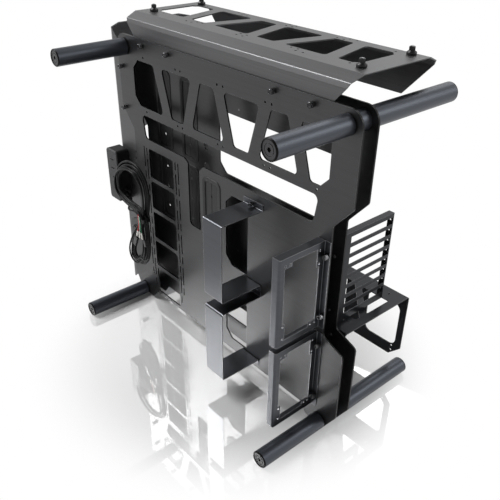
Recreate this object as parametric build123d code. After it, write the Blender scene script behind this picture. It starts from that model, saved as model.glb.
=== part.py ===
from build123d import *
from math import pi, radians, tan
import os

# Open air test bench for computer boards, in millimetres.
# +X runs along the plates, +Y from the power supply side to the board side, +Z up, floor at Z = 0.
# While it is drawn, X = 0 is the middle of the plates and Y = 0 the front plate's outer face.

# Stock
plate_thick = 3.0
tray_thick = 2.0
sheet_thick = 1.5
bend = 2.5

# The two plates: half widths from the middle, heights above the floor
plate_gap = 30.0
top_height = 603.0
head_half = 315.5
head_low = 457.0
waist_half = 279.0
waist_high = 415.0
waist_low = 205.0
base_half = 326.0
base_high = 187.0
base_low = 46.0
foot_outer_in = 26.5
foot_inner_in = 71.0
foot_low = 5.0
arch_in = 87.0
arch_high = 27.0
head_round = 25.0
corner_round = 9.0

# Corner bars
handle_r = 16.0
head_bar_in = 27.0
head_bar_down = 23.5
base_bar_in = 37.5
handle_front = 148.5
handle_rear = 205.0
handle_edge = 1.5
rod_r = 4.0
rod_room = 0.25
cap_r = 13.5
cap_thick = 5.0
cap_rim = 1.0
cap_groove_r = 8.5
cap_groove = 1.2
cap_socket_r = 3.8
cap_socket_deep = 3.0

# Truss row and wide slot of the front plate
truss_low = 471.5
truss_high = 561.5
truss_half = 263.0
truss_first = -166.5
truss_pitch = 91.0
truss_strut = 26.0
truss_lean = 27.0
truss_round = 8.0
truss_bevel = 17.5
bevel_round = 2.0
slot_half = 245.0
slot_low = 406.0
slot_high = 455.0
slot_slope = 8.0
slot_round = 10.0
notch_left = -94.0
notch_right = -57.5
notch_low = 267.0
notch_flare = 12.0

# Ladder of drive windows and its slot columns
ladder_left = -229.0
ladder_right = -144.0
ladder_high = 387.0
ladder_low = 35.0
ladder_bays = 5
ladder_rung = 8.5
ladder_round = 5.0
column_near = 7.5
column_far = 17.0
column_wide = 3.6
column_short = 18.0
column_long = 46.0
column_space = 8.0

# Cable openings of the front plate
grommet_left = -45.0
grommet_right = 2.0
grommet_low = 267.0
grommet_high = 387.0
grommet_round = 10.0
grommet_lip = 3.5
grommet_proud = 1.2
grommet_slit = 8.0
cable_left = 20.0
cable_right = 83.0
cable_low_in = 3.0
cable_high_in = 1.0
cable_bevel = 18.0

# Fan holes: pitch of the fans in a row, and each fan's own square of holes
fan_pitch = 120.0
fan_square = 105.0
wide_fan_pitch = 140.0
wide_fan_square = 124.5
fan_count = 4
fan_hole_r = 2.2
fan_row_middle = 7.0

# Board side: openings of the rear plate
board_window_left = -37.0
board_window_right = 255.0
board_window_low = 393.5
board_window_high = 511.0
board_window_bevel = 18.0
tall_left = -237.0
tall_right = -190.0
tall_high = 543.0
tall_split = 372.0
tall_web = 14.0
tall_low = 226.0
rear_grommet_left = -152.0
rear_grommet_right = -106.0
port_hole_r = 8.0
port_hole_x = -77.0
port_hole_high = 430.0
port_hole_low = 388.0
low_slot_left = -70.0
low_slot_right = 120.0
low_slot_low = 70.0
low_slot_high = 110.0

# Board standoffs: the usual field of nine, from its corner next to the card bracket
board_in = 21.0
board_corner_z = 242.0
board_column_2 = 154.94
board_column_3 = 227.33
board_row_2 = 124.46
board_row_3 = 281.94
standoff_r = 3.2
standoff_long = 8.0
standoff_bore_r = 1.5
standoff_stud_r = 1.8

# Trays: lengths along the plate's edge, heights above that edge, depths from the front plate
top_tray_in = 29.5
side_tray_low = 13.0
side_tray_over = 7.5
tray_end_slope = 9.0
tray_end_cut = 61.0
tray_lip = 34.0
tray_fold = 22.0
tray_step = 30.0
tray_rise = 39.0
tray_step_in = 3.0
tray_top_in = 26.0
tray_deep = 201.0
tray_window_front = 64.0
tray_window_back = 157.0
tray_window_left_in = 53.5
tray_window_right_in = 73.5
tray_truss_in = 136.5
tray_strut = 25.0
tray_lean = 24.0
tray_round = 6.0
tray_bevel = 10.0
top_tray_screws = (61.0, 144.0, -148.0, -65.0)
side_tray_screws = (80.0, 163.0, -154.5, -71.5)
tray_screw_inset = 12.0
tray_dot_inset = 30.0
tray_dots = (-6.0, 9.0, 29.0, 44.0)
side_middle = 318.0

# Thumb screws and tray knobs
thumb_r = 5.6
thumb_long = 8.0
thumb_neck = 1.5
thumb_edge = 1.0
screw_r = 2.0
screw_room = 0.3
screw_grip = 3.0
knob_in = 57.5
knob_spread = 57.0
knob_r = 8.6
knob_skirt = 6.0
knob_top_r = 5.2
knob_high = 12.0
knob_tip_r = 2.6
knob_tip = 1.0

# Power supply straps and frames
psu_low = 51.0
psu_pitch = 177.5
psu_high = 151.3
psu_deep = 91.2
strap_left = 72.7
strap_wide = 49.3
strap_tab = 12.0
strap_screw_in = 7.1
strap_thumb_r = 4.2
frame_in = 12.7
frame_border = 10.5
frame_margin = 7.5
frame_deep = 97.4
frame_return = 14.0
frame_flange = 13.0
frame_screw_in = 8.1
frame_screw_end = 25.0
psu_hole_tall = 138.0
psu_hole_deep = 74.0
psu_hole_r = 2.0
psu_hole_drop = 24.0
psu_hole_shift = 10.0
psu_tab = 4.5

# Expansion card bracket and its shelf, behind the rear plate
card_in = 13.0
card_deep = 139.0
card_high = 177.5
card_slot_lift = 3.0
card_flange = 12.0
card_slots = 8
card_pitch = 20.32
card_slot_high = 13.0
card_slot_front = 29.0
card_slot_back = 125.0
card_hole_r = 1.8
shelf_height = 200.0
shelf_over = 32.0
shelf_wide = 148.0
shelf_deep = 181.0
shelf_bend = 6.0
shelf_lip = 24.0
shelf_leg = 150.0
shelf_bevel = 25.0
shelf_border = 17.0
shelf_front_border = 48.0
shelf_rear_border = 41.0
shelf_hole_in = 31.0
shelf_hole_front = 34.0
shelf_hole_back = 159.0
shelf_strut = 12.0
shelf_round = 6.0
leg_border = 14.0
leg_top = 28.0
leg_bevel = 15.0
leg_window_wide = 77.0
leg_hole_in = 21.0
leg_hole_up = 11.0

# Front port box on the side tray's flange
box_out = 1.5
box_wide = 42.0
box_front = 28.0
box_low = 240.0
box_high = 358.0
box_round = 7.0
box_wall = 2.0
box_cover = 3.0
port_wide = 13.5
port_high = 6.0
port_deep = 14.0
port_wall = 0.5
port_tongue = 2.0
port_levels = (97.0, 77.0)
jack_r = 3.6
jack_bore_r = 1.8
jack_levels = (55.0, 38.0)
gland_r = 4.6
gland_long = 7.0
gland_setback = 11.0

# Leads of the port box: where the tie and the loops of their hank are, in X off the box and Z
lead_r = 2.6
slim_lead_r = 1.9
thin_lead_r = 0.9
bend_share = 0.45
gland_levels = (268.0, 256.0)
hank_r = 8.5
hank_low_r = 6.0
hank_neck_r = 8.0
hank_room = 0.4
upper_loop = ((1.0, 278.0), (20.0, 330.0), (71.0, 351.0), (118.0, 338.0), (118.0, 262.0), (55.0, 254.0))
lower_loop = ((101.0, 232.0), (70.0, 200.0), (40.0, 134.0), (60.0, 119.0), (95.0, 136.0), (113.0, 180.0),
              (115.0, 228.0))
neck_high = (110.5, 270.0)
neck_low = (107.5, 226.0)
tie_middle = 244.0
tie_long = 9.0
tie_thick = 1.6

# Routes of the leads: steps from the stub to the hank, and from the hank's neck to the plug
usb_start = ((9.5, 0.0, 0.0), (12.0, -5.5, -2.0), (7.0, -9.8, -2.4))
audio_start = ((9.5, 0.0, 0.0), (12.0, -4.8, -1.2), (8.0, -10.2, -1.0))
usb_tail = ((-1.5, -0.3, -10.5), (-5.0, -0.3, -12.5), (-5.0, 0.0, -11.0))
audio_tail = ((1.0, -0.2, -10.0), (3.5, -0.3, -11.0), (2.5, 0.0, -10.0))
thin_tail = ((-0.4, -2.2, -8.0), (-0.3, -1.6, -8.5), (-1.6, -0.3, -8.0))
tail_spots = (-4.0, 6.0)
tail_drop = 11.0
thin_spot = -1.4
thin_gap = 2.6
thin_spread = 4.4
thin_count = 3
usb_plug_size = (10.0, 6.5, 26.0)
audio_plug_size = (7.5, 5.0, 15.0)
thin_plug_size = (5.2, 2.6, 14.0)
plug_edge = 0.6

# Small pan head screws
pan_r = 3.2
pan_high = 1.8
pan_long = 6.0

# Worked out from the above
rear_front = plate_thick + plate_gap
rear_back = rear_front + plate_thick
handle_low = handle_r
handle_high = top_height - head_bar_down
bar_front = -handle_front
bar_rear = rear_back + handle_rear
ledge_back = rear_back + card_deep
shelf_back = rear_back + shelf_deep
psu_lows = [psu_low, psu_low + psu_pitch]
psu_middles = [low + psu_high / 2 for low in psu_lows]
frame_face = waist_half - frame_in
frame_high = psu_high + 2 * frame_margin
card_face = waist_half - card_in
shelf_right = card_face + shelf_over
shelf_left = shelf_right - shelf_wide
box_right = -head_half - box_out
box_left = box_right - box_wide
box_middle = ((box_left + box_right) / 2, (box_low + box_high) / 2)
hank_front = -box_front - hank_room - hank_r
fan_middle = (truss_low + truss_high) / 2
tray_fan_middle = (tray_window_front + tray_window_back) / 2
knob_half = head_half - knob_in
tray_truss_pitch = (head_half - tray_truss_in) / 2
top_tray_half = head_half - top_tray_in
side_tray_high = top_height + side_tray_over
head_bar = head_half - head_bar_in
base_bar = base_half - base_bar_in
corners = [("top_left", -head_bar, handle_high), ("top_right", head_bar, handle_high),
           ("bottom_left", -base_bar, handle_low), ("bottom_right", base_bar, handle_low)]


def upright(sketch, front, thick):
    """A flat piece drawn in X and Z, from its front face towards the board side."""
    return extrude(Plane.XZ.offset(-front) * sketch, thick, dir=(0, 1, 0))


def rounded(points, radii):
    """A face with its own radius at each corner."""
    return make_face(FilletPolyline(*points, radius=radii, close=True))


def rounded_box(left, right, low, high, radius):
    """A rectangle by its edges, with round corners."""
    middle = ((left + right) / 2, (low + high) / 2)
    return Pos(*middle) * RectangleRounded(right - left, high - low, radius)


def folded(points, thick, side, radius=bend):
    """A sheet's section: the line of its outer bends, thickened to one side."""
    return make_face(offset(FilletPolyline(*points, radius=radius), thick, side=side))


def circles(places, radius):
    """Round holes at the given places."""
    return [Pos(x, z) * Circle(radius) for x, z in places]


def along_y(radius, start, end):
    """A round bar along Y."""
    low, high = sorted((start, end))
    return upright(Circle(radius), low, high - low)


def truss_row(first, pitch, strut, lean, left, right, low, high, radius, bevel):
    """Six windows between five leaning struts, the end ones cut straight with bevelled corners."""
    edges = []
    for index in range(5):
        way = lean / 2 if index % 2 == 0 else -lean / 2
        middle = first + pitch * index
        edges.append((middle + way, middle - way))
    windows = []
    for near, far in zip(edges, edges[1:]):
        points = [(near[0] + strut / 2, low), (far[0] - strut / 2, low),
                  (far[1] - strut / 2, high), (near[1] + strut / 2, high)]
        windows.append(rounded(points, [radius] * len(points)))
    for side, way, edge in ((left, 1, edges[0]), (right, -1, edges[-1])):
        points = [(side, low + bevel), (side + way * bevel, low), (edge[0] - way * strut / 2, low),
                  (edge[1] - way * strut / 2, high), (side + way * bevel, high), (side, high - bevel)]
        windows.append(rounded(points, [bevel_round] * 2 + [radius] * 2 + [bevel_round] * 2))
    return windows


def fan_places(pitch, square, count):
    """Places along a row of fans, two for each fan."""
    middles = [pitch * (index - (count - 1) / 2) for index in range(count)]
    return [middle + side * square / 2 for middle in middles for side in (-1, 1)]


def plate_outline():
    """Outline shared by both plates, with the holes for the tie rods."""
    right = [(head_half, top_height), (head_half, head_low), (waist_half, waist_high),
             (waist_half, waist_low), (base_half, base_high), (base_half, base_low),
             (base_half - foot_outer_in, foot_low), (base_half - foot_inner_in, foot_low),
             (base_half - arch_in, arch_high)]
    left = [(-x, z) for x, z in reversed(right)]
    radii = [head_round] + [corner_round for corner in right[1:]]
    outline = rounded(right + left, radii + radii[::-1])
    return outline - circles([(x, z) for name, x, z in corners], rod_r + rod_room)


def wide_slot():
    """Slot under the truss row, with a notch that runs down from it."""
    points = [(-slot_half, slot_high), (-slot_half + slot_slope, slot_low),
              (notch_left - notch_flare, slot_low), (notch_left, slot_low - notch_flare / 2),
              (notch_left, notch_low), (notch_right, notch_low),
              (notch_right, slot_low - notch_flare), (notch_right + notch_flare, slot_low),
              (slot_half - slot_slope, slot_low), (slot_half, slot_high)]
    tight = slot_round / 2.5
    radii = [slot_round, slot_round, tight, tight, slot_round, tight, tight, tight, slot_round, slot_round]
    return rounded(points, radii)


def ladder():
    """Drive windows one above the other, with columns of slots on both sides."""
    tall = (ladder_high - ladder_low - ladder_rung * (ladder_bays - 1)) / ladder_bays
    cuts = []
    for bay in range(ladder_bays):
        low = ladder_low + bay * (tall + ladder_rung)
        cuts.append(rounded_box(ladder_left, ladder_right, low, low + tall, ladder_round))
    columns = [(column_near, (column_short, column_long)), (column_far, (column_long, column_short))]
    for column, lengths in columns:
        top = ladder_high
        index = 0
        while top - lengths[index % 2] > ladder_low:
            slot = SlotOverall(lengths[index % 2], column_wide, rotation=90)
            middle = top - lengths[index % 2] / 2
            cuts.append(Pos(ladder_right + column, middle) * slot)
            cuts.append(Pos(ladder_left - column, middle) * slot)
            top -= lengths[index % 2] + column_space
            index += 1
    return cuts


def cable_opening(psu_bottom):
    """Opening beside a power supply, with bevelled corners towards the middle."""
    low = psu_bottom + cable_low_in
    high = psu_bottom + psu_high - cable_high_in
    points = [(cable_left, low + cable_bevel), (cable_left + cable_bevel, low), (cable_right, low),
              (cable_right, high), (cable_left + cable_bevel, high), (cable_left, high - cable_bevel)]
    return rounded(points, [corner_round / 2] * len(points))


def from_ends(spots, low, high):
    """Places along a tray, from its low end where above nought and else from its high end."""
    return [low + spot if spot > 0 else high + spot for spot in spots]


def tray_screws():
    """Thumb screw places on the front plate, for the top tray and then the side tray."""
    across = from_ends(top_tray_screws, -top_tray_half, top_tray_half)
    upward = from_ends(side_tray_screws, side_tray_low, side_tray_high)
    top = [(x, top_height - tray_screw_inset) for x in across]
    return top + [(-head_half + tray_screw_inset, z) for z in upward]


def frame_screws():
    """Screws through the power supply frames' flanges into the front plate."""
    x = frame_face + frame_screw_in
    reach = frame_high / 2 - frame_screw_end
    return [(x, middle + side * reach) for middle in psu_middles for side in (-1, 1)]


def strap_screws():
    """Screws through the middle of the straps' tabs into the front plate."""
    reach = psu_high / 2 + strap_screw_in
    return [(strap_left + strap_wide / 2, middle + side * reach) for middle in psu_middles for side in (-1, 1)]


def standoff_places():
    """Board standoffs on the rear plate."""
    corner = card_face - board_in
    columns = [corner, corner - board_column_2, corner - board_column_3]
    levels = [board_corner_z, board_corner_z + board_row_2, board_corner_z + board_row_3]
    return [(column, level) for column in columns for level in levels]


def standoffs():
    """Threaded posts on the rear plate, each with its stud in the plate."""
    post = along_y(standoff_r, rear_back, rear_back + standoff_long)
    post -= along_y(standoff_bore_r, rear_back, rear_back + standoff_long)
    post += along_y(standoff_stud_r, rear_front, rear_back)
    return [Pos(x, 0, z) * post for x, z in standoff_places()]


def card_screws():
    """Screws through the rear plate into the card bracket and the shelf."""
    bracket = [(card_face - card_flange / 2, shelf_height + card_high * share) for share in (0.2, 0.8)]
    shelf = [(shelf_left + shelf_wide * share, shelf_height - shelf_lip / 2) for share in (0.2, 0.8)]
    return bracket + shelf


def front_plate():
    """Plate on the power supply side."""
    cuts = truss_row(truss_first, truss_pitch, truss_strut, truss_lean, -truss_half, truss_half,
                     truss_low, truss_high, truss_round, truss_bevel)
    cuts += ladder() + [wide_slot()]
    cuts.append(rounded_box(grommet_left, grommet_right, grommet_low, grommet_high, grommet_round))
    cuts += [cable_opening(low) for low in psu_lows]
    fans = fan_places(fan_pitch, fan_square, fan_count)
    rows = [fan_middle + side * fan_square / 2 for side in (-1, 1)]
    cuts += circles([(fan_row_middle + x, z) for x in fans for z in rows], fan_hole_r)
    cuts += circles(tray_screws() + frame_screws() + strap_screws(), screw_r + screw_room)
    return upright(plate_outline() - cuts, 0, plate_thick)


def rear_plate():
    """Plate that carries the board."""
    bevel = board_window_bevel
    window = [(board_window_left, board_window_high), (board_window_left, board_window_low + bevel),
              (board_window_left + bevel, board_window_low), (board_window_right, board_window_low),
              (board_window_right, board_window_high)]
    cuts = [rounded(window, [corner_round] * len(window))]
    for low, high in rear_cable_spans():
        cuts.append(rounded_box(tall_left, tall_right, low, high, grommet_round))
        cuts.append(rounded_box(rear_grommet_left, rear_grommet_right, low, high, grommet_round))
    cuts.append(rounded_box(low_slot_left, low_slot_right, low_slot_low, low_slot_high, grommet_round))
    cuts += circles([(port_hole_x, port_hole_high), (port_hole_x, port_hole_low)], port_hole_r)
    cuts += circles(standoff_places(), standoff_stud_r)
    cuts += circles(card_screws(), screw_r + screw_room)
    return upright(plate_outline() - cuts, rear_front, plate_thick)


def rear_cable_spans():
    """Heights of the rear plate's lower and upper cable openings."""
    return [(tall_low, tall_split), (tall_split + tall_web, tall_high)]


def tray(low_end, high_end, spots):
    """Folded radiator tray, drawn with the plate's edge at height 0 and its length along X."""
    front = plate_thick
    back = plate_thick + tray_deep
    section = folded([(front, -tray_lip), (front, tray_fold), (front + tray_step_in, tray_step),
                      (front + tray_top_in, tray_rise), (back - tray_top_in, tray_rise),
                      (back - tray_step_in, tray_step), (back, tray_fold), (back, -tray_lip)],
                     tray_thick, Side.RIGHT)
    sheet = extrude(Plane.YZ * section, max(low_end, high_end), both=True)
    cut = [(0, tray_rise), (tray_end_slope, tray_fold), (tray_end_cut, -tray_lip)]
    right = [(high_end - back_off, z) for back_off, z in cut]
    left = [(back_off - low_end, z) for back_off, z in reversed(cut)]
    ends = Polygon(*right, *left, align=None)
    sheet = sheet & upright(ends, 0, back)
    windows = truss_row(-2 * tray_truss_pitch, tray_truss_pitch, tray_strut, tray_lean,
                        tray_window_left_in - head_half, head_half - tray_window_right_in,
                        tray_window_front, tray_window_back, tray_round, tray_bevel)
    rows = [(fan_pitch, fan_square), (wide_fan_pitch, wide_fan_square)]
    holes = []
    for pitch, square in rows:
        for x in fan_places(pitch, square, fan_count):
            if abs(x) < knob_half - knob_r:
                holes += [(x, tray_fan_middle + side * square / 2) for side in (-1, 1)]
    cuts = windows + circles(holes, fan_hole_r) + circles(knob_places(), screw_r + screw_room)
    sheet -= extrude(Plane.XY * Sketch(children=cuts), tray_rise + bend, dir=(0, 0, 1))
    lip_holes = [(x, -tray_screw_inset) for x in from_ends(spots, -low_end, high_end)]
    lip_holes += [(x, -tray_dot_inset) for x in tray_dots]
    return sheet - upright(Sketch(children=circles(lip_holes, screw_r)), 0, front + 2 * tray_thick)


def knob_places():
    """Knobs at the tray's four corners, in its own length and depth."""
    return [(x * knob_half, tray_fan_middle + y * knob_spread) for x in (-1, 1) for y in (-1, 1)]


def tray_knobs():
    """Thumb knobs on the tray's face, each with its screw through the sheet."""
    tip = -screw_grip - tray_thick
    profile = [(0, tip), (screw_r, tip), (screw_r, 0), (knob_r, 0), (knob_r, knob_skirt * 0.7),
               (knob_top_r, knob_skirt), (knob_top_r, knob_high), (knob_tip_r, knob_high),
               (knob_tip_r, knob_high + knob_tip), (0, knob_high + knob_tip)]
    knob = revolve(Plane.XZ * make_face(Polyline(*profile, close=True)), Axis.Z)
    return [Pos(x, y, tray_rise) * knob for x, y in knob_places()]


def on_top(piece):
    """Sets a piece that is drawn with the tray on the plates' top edge."""
    return Pos(0, 0, top_height) * piece


def on_left(piece):
    """Turns a piece that is drawn with the tray to the plates' left edge."""
    return Pos(-head_half, 0, side_middle) * Rot(0, -90, 0) * piece


def thumb_screws(places, face, sheet, radius):
    """Thumb screws with their heads on a face, through the front plate and a sheet."""
    end = plate_thick + sheet + screw_grip
    tip = -thumb_neck - thumb_long
    profile = [(0, tip), (radius - thumb_edge, tip), (radius, tip + thumb_edge), (radius, -thumb_neck),
               (radius * 0.7, 0), (screw_r, 0), (screw_r, end), (0, end)]
    screw = revolve(Plane.XY * make_face(Polyline(*profile, close=True)), Axis.Y)
    return [Pos(x, face, z) * screw for x, z in places]


def pan_screws(places, face):
    """Pan head screws with their heads on a face and their shanks along Y."""
    profile = [(0, -pan_high), (pan_r * 0.7, -pan_high), (pan_r, -pan_high / 2), (pan_r, 0),
               (screw_r, 0), (screw_r, pan_long), (0, pan_long)]
    screw = revolve(Plane.XY * make_face(Polyline(*profile, close=True)), Axis.Y)
    return [Pos(x, face, z) * screw for x, z in places]


def handle(x, z, start, end):
    """Bar with a bore for the tie rod, a seat for the end cap and eased edges."""
    way = 1 if end > start else -1
    body = along_y(handle_r, start, end)
    body = chamfer(body.edges().filter_by(GeomType.CIRCLE), handle_edge)
    body -= along_y(rod_r + rod_room, start, end)
    body -= along_y(cap_r, end - way * cap_thick, end)
    return Pos(x, 0, z) * body


def end_cap(x, z, end, way):
    """Round cap in a bar's end, with a ring groove, a hex socket and a seat for the tie rod."""
    inner = end - way * cap_thick
    cap = along_y(cap_r, inner, end - way * cap_rim)
    face = end - way * cap_rim
    groove = Circle(cap_groove_r + cap_groove / 2) - Circle(cap_groove_r - cap_groove / 2)
    cap -= extrude(Plane.XZ.offset(-face) * groove, cap_groove, dir=(0, -way, 0))
    socket = RegularPolygon(cap_socket_r, 6)
    cap -= extrude(Plane.XZ.offset(-face) * socket, cap_socket_deep, dir=(0, -way, 0))
    return Pos(x, 0, z) * cap


def tie_rod(x, z):
    """Rod through both plates, from cap to cap."""
    return Pos(x, 0, z) * along_y(rod_r, bar_front + cap_thick, bar_rear - cap_thick)


def spacer(x, z):
    """Sleeve round a tie rod that keeps the plates apart."""
    sleeve = along_y(handle_r, plate_thick, rear_front) - along_y(rod_r + rod_room, plate_thick, rear_front)
    return Pos(x, 0, z) * sleeve


def grommet(left, right, low, high, front):
    """Rubber lip on both faces of a plate round a cable opening, with a slit web."""
    opening = rounded_box(left, right, low, high, grommet_round)
    lips = rounded_box(left - grommet_lip, right + grommet_lip, low - grommet_lip, high + grommet_lip,
                       grommet_round + grommet_lip)
    slit = Pos((left + right) / 2, (low + high) / 2)
    slit *= SlotOverall(high - low - 2 * grommet_slit, grommet_slit, rotation=90)
    body = upright(opening, front, plate_thick)
    body += upright(lips, front - grommet_proud, grommet_proud)
    body += upright(lips, front + plate_thick, grommet_proud)
    return body - upright(slit, front - grommet_proud, plate_thick + 2 * grommet_proud)


def strap(low):
    """Strap that holds a power supply against the front plate."""
    high = low + psu_high
    line = [(0, high + strap_tab), (0, high), (-psu_deep, high),
            (-psu_deep, low), (0, low), (0, low - strap_tab)]
    section = Plane.YZ.offset(strap_left) * folded(line, sheet_thick, Side.RIGHT)
    piece = extrude(section, strap_wide, dir=(1, 0, 0))
    spots = [place for place in strap_screws() if low - strap_tab < place[1] < high + strap_tab]
    return piece - upright(Sketch(children=circles(spots, screw_r + screw_room)), -sheet_thick, sheet_thick)


def psu_frame(middle):
    """Frame that a power supply's end is screwed to, folded along three edges."""
    line = [(frame_face + frame_flange, 0), (frame_face, 0), (frame_face, -frame_deep),
            (frame_face - frame_return, -frame_deep)]
    low = middle - frame_high / 2
    section = Plane.XY.offset(low) * folded(line, sheet_thick, Side.LEFT)
    piece = extrude(section, frame_high, dir=(0, 0, 1))
    face_middle = -(frame_deep + sheet_thick) / 2
    lip = Pos(frame_face - frame_return / 2, face_middle) * Rectangle(frame_return, frame_deep)
    for level in (low, low + frame_high - sheet_thick):
        piece += extrude(Plane.XY.offset(level) * lip, sheet_thick, dir=(0, 0, 1))
    window = Rectangle(frame_deep - 2 * frame_border, frame_high - 2 * frame_border)
    holes = []
    for way in (-1, 1):
        side = way * psu_hole_deep / 2
        level = way * psu_hole_tall / 2
        for place, other in (((side, -level), (side - way * psu_hole_shift, -level)),
                             ((side, level), (side, level - way * psu_hole_drop))):
            window -= make_hull([*(Pos(*place) * Rectangle(2 * psu_tab, 2 * psu_tab)).edges(),
                                 *(Pos(*other) * Rectangle(2 * psu_tab, 2 * psu_tab)).edges()])
            holes += circles([place, other], psu_hole_r)
    cut = Plane.YZ.offset(frame_face - bend) * Pos(face_middle, middle) * Sketch(children=[window] + holes)
    piece -= extrude(cut, 2 * bend, dir=(1, 0, 0))
    spots = [place for place in frame_screws() if abs(place[1] - middle) < frame_high / 2]
    return piece - upright(Sketch(children=circles(spots, screw_r + screw_room)), -sheet_thick, sheet_thick)


def card_bracket():
    """Pressed bracket for expansion cards: a slotted face with a flange on every side."""
    left = card_face - card_flange
    high = shelf_height + card_high
    pan = Pos((left + card_face) / 2, rear_back + card_deep / 2, (shelf_height + high) / 2)
    shell = pan * Box(card_flange, card_deep, card_high)
    room = Box(card_flange, card_deep - 2 * sheet_thick, card_high - 2 * sheet_thick)
    shell -= Pos(-sheet_thick, 0, 0) * pan * room
    first = (shelf_height + high - card_pitch * (card_slots - 1)) / 2 + card_slot_lift
    levels = [first + card_pitch * index for index in range(card_slots)]
    slot = Rectangle(card_slot_back - card_slot_front, card_slot_high)
    slot_middle = rear_back + (card_slot_front + card_slot_back) / 2
    slots = [Pos(slot_middle, level) * slot for level in levels]
    cut = Plane.YZ.offset(card_face - sheet_thick) * Sketch(children=slots)
    shell -= extrude(cut, sheet_thick, dir=(1, 0, 0))
    tabs = circles([(card_face - card_flange / 2, level) for level in levels], card_hole_r)
    shell -= upright(Sketch(children=tabs), ledge_back - sheet_thick, sheet_thick)
    places = circles(card_screws()[:2], screw_r)
    return shell - upright(Sketch(children=places), rear_back, sheet_thick)


def card_shelf():
    """Shelf under the card bracket, folded down to the rear plate and to a wide leg."""
    line = [(rear_back, shelf_height - shelf_lip), (rear_back, shelf_height), (shelf_back, shelf_height),
            (shelf_back, shelf_height - shelf_leg)]
    section = Plane.YZ.offset(shelf_left) * folded(line, tray_thick, Side.RIGHT, shelf_bend)
    piece = extrude(section, shelf_wide, dir=(1, 0, 0))
    front = rear_back + shelf_front_border
    back = shelf_back - shelf_rear_border
    left = shelf_left + shelf_border
    right = shelf_right - shelf_border
    reach = back - front
    bar = shelf_strut * 2 ** 0.5 / 2
    near = [(left, front), (right, front), (right, front + reach * 0.2 - bar),
            (right - reach * 0.8 - bar, back), (left, back)]
    far = [(right, front + reach * 0.2 + bar), (right, back), (right - reach * 0.8 + bar, back)]
    cuts = [rounded(near, [shelf_round] * len(near)), rounded(far, [shelf_round / 2] * len(far))]
    rows = [rear_back + row for row in (shelf_hole_front, shelf_hole_back)]
    cuts += circles([(shelf_right - shelf_hole_in, row) for row in rows], fan_hole_r)
    under = Plane.XY.offset(shelf_height - 2 * tray_thick)
    piece -= extrude(under * Sketch(children=cuts), 3 * tray_thick, dir=(0, 0, 1))
    low = shelf_height - shelf_leg
    window = rounded_box(shelf_right - leg_border - leg_window_wide, shelf_right - leg_border,
                         low + shelf_bevel, shelf_height - leg_top, leg_bevel)
    bevel = [(shelf_right, low), (shelf_right, low + shelf_bevel), (shelf_right - shelf_bevel, low)]
    cuts = [window, Polygon(*bevel, align=None)]
    cuts += circles([(shelf_right - leg_hole_in, low + leg_hole_up * step) for step in (1, 2)], fan_hole_r)
    piece -= upright(Sketch(children=cuts), shelf_back - 2 * tray_thick, 3 * tray_thick)
    places = circles(card_screws()[2:], screw_r)
    return piece - upright(Sketch(children=places), rear_back, tray_thick)


def box_body():
    """Hollow body of the port box, open at its cover, with a stub for each lead."""
    outer = RectangleRounded(box_wide, box_high - box_low, box_round)
    inner = RectangleRounded(box_wide - 2 * box_wall, box_high - box_low - 2 * box_wall, box_round - box_wall)
    front = box_cover - box_front
    body = upright(outer, front, plate_thick - front)
    body -= upright(inner, front, plate_thick - front - box_wall)
    body = Pos(box_middle[0], 0, box_middle[1]) * body
    for level, radius in zip(gland_levels, (lead_r, slim_lead_r)):
        stub = Pos(box_right + gland_long / 2, -gland_setback, level) * Rot(0, 90, 0)
        body += stub * Cone(gland_r, radius + plug_edge, gland_long)
    return body


def port_face(sketch, levels):
    """The same outline at several heights of the port box's cover."""
    return [Pos(box_middle[0], box_low + level) * sketch for level in levels]


def box_face():
    """Cover of the port box, with openings for its sockets."""
    outer = RectangleRounded(box_wide, box_high - box_low, box_round)
    cover = upright(outer, -box_front, box_cover)
    cover = chamfer(cover.faces().sort_by(Axis.Y)[0].edges(), box_cover / 2)
    cuts = port_face(Rectangle(port_wide, port_high), port_levels) + port_face(Circle(jack_r), jack_levels)
    cover = Pos(box_middle[0], 0, box_middle[1]) * cover
    return cover - upright(Sketch(children=cuts), -box_front, box_cover)


def port_sockets():
    """Flat sockets behind the cover: a shell, a floor and a tongue in each."""
    shell = Rectangle(port_wide, port_high)
    room = Rectangle(port_wide - 2 * port_wall, port_high - 2 * port_wall)
    tongue = Pos(0, port_high / 6) * Rectangle(port_wide - 4 * port_wall, port_tongue)
    socket = upright(shell, -box_front, port_deep)
    socket -= upright(room - tongue, -box_front, port_deep - port_tongue)
    return [Pos(box_middle[0], 0, box_low + level) * socket for level in port_levels]


def port_jacks():
    """Round sockets behind the cover."""
    jack = along_y(jack_r, -box_front, port_deep - box_front)
    jack -= along_y(jack_bore_r, -box_front, port_deep - port_tongue - box_front)
    return [Pos(box_middle[0], 0, box_low + level) * jack for level in jack_levels]


def turn_radii(points, closed):
    """Radius of each bend of a lead, as wide as the shorter of its two runs allows."""
    count = len(points)
    radii = []
    for index in range(count) if closed else range(1, count - 1):
        come = Vector(*points[index]) - Vector(*points[index - 1])
        leave = Vector(*points[(index + 1) % count]) - Vector(*points[index])
        half_turn = radians(come.get_angle(leave)) / 2
        radii.append(bend_share * min(come.length, leave.length) / tan(half_turn))
    return radii


def lead(name, points, radius, closed=False):
    """A round lead along straight runs and tangent bends."""
    radii = turn_radii(points, closed)
    path = FilletPolyline(*points, radius=radii, close=closed)
    tube = sweep(Plane(path @ 0, z_dir=path % 0) * Circle(radius), path=path)
    print(name, "bends", [round(size, 1) for size in radii], "length", round(path.length, 1),
          "volume share", round(tube.volume / (pi * radius ** 2 * path.length), 4))
    return tube


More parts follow.
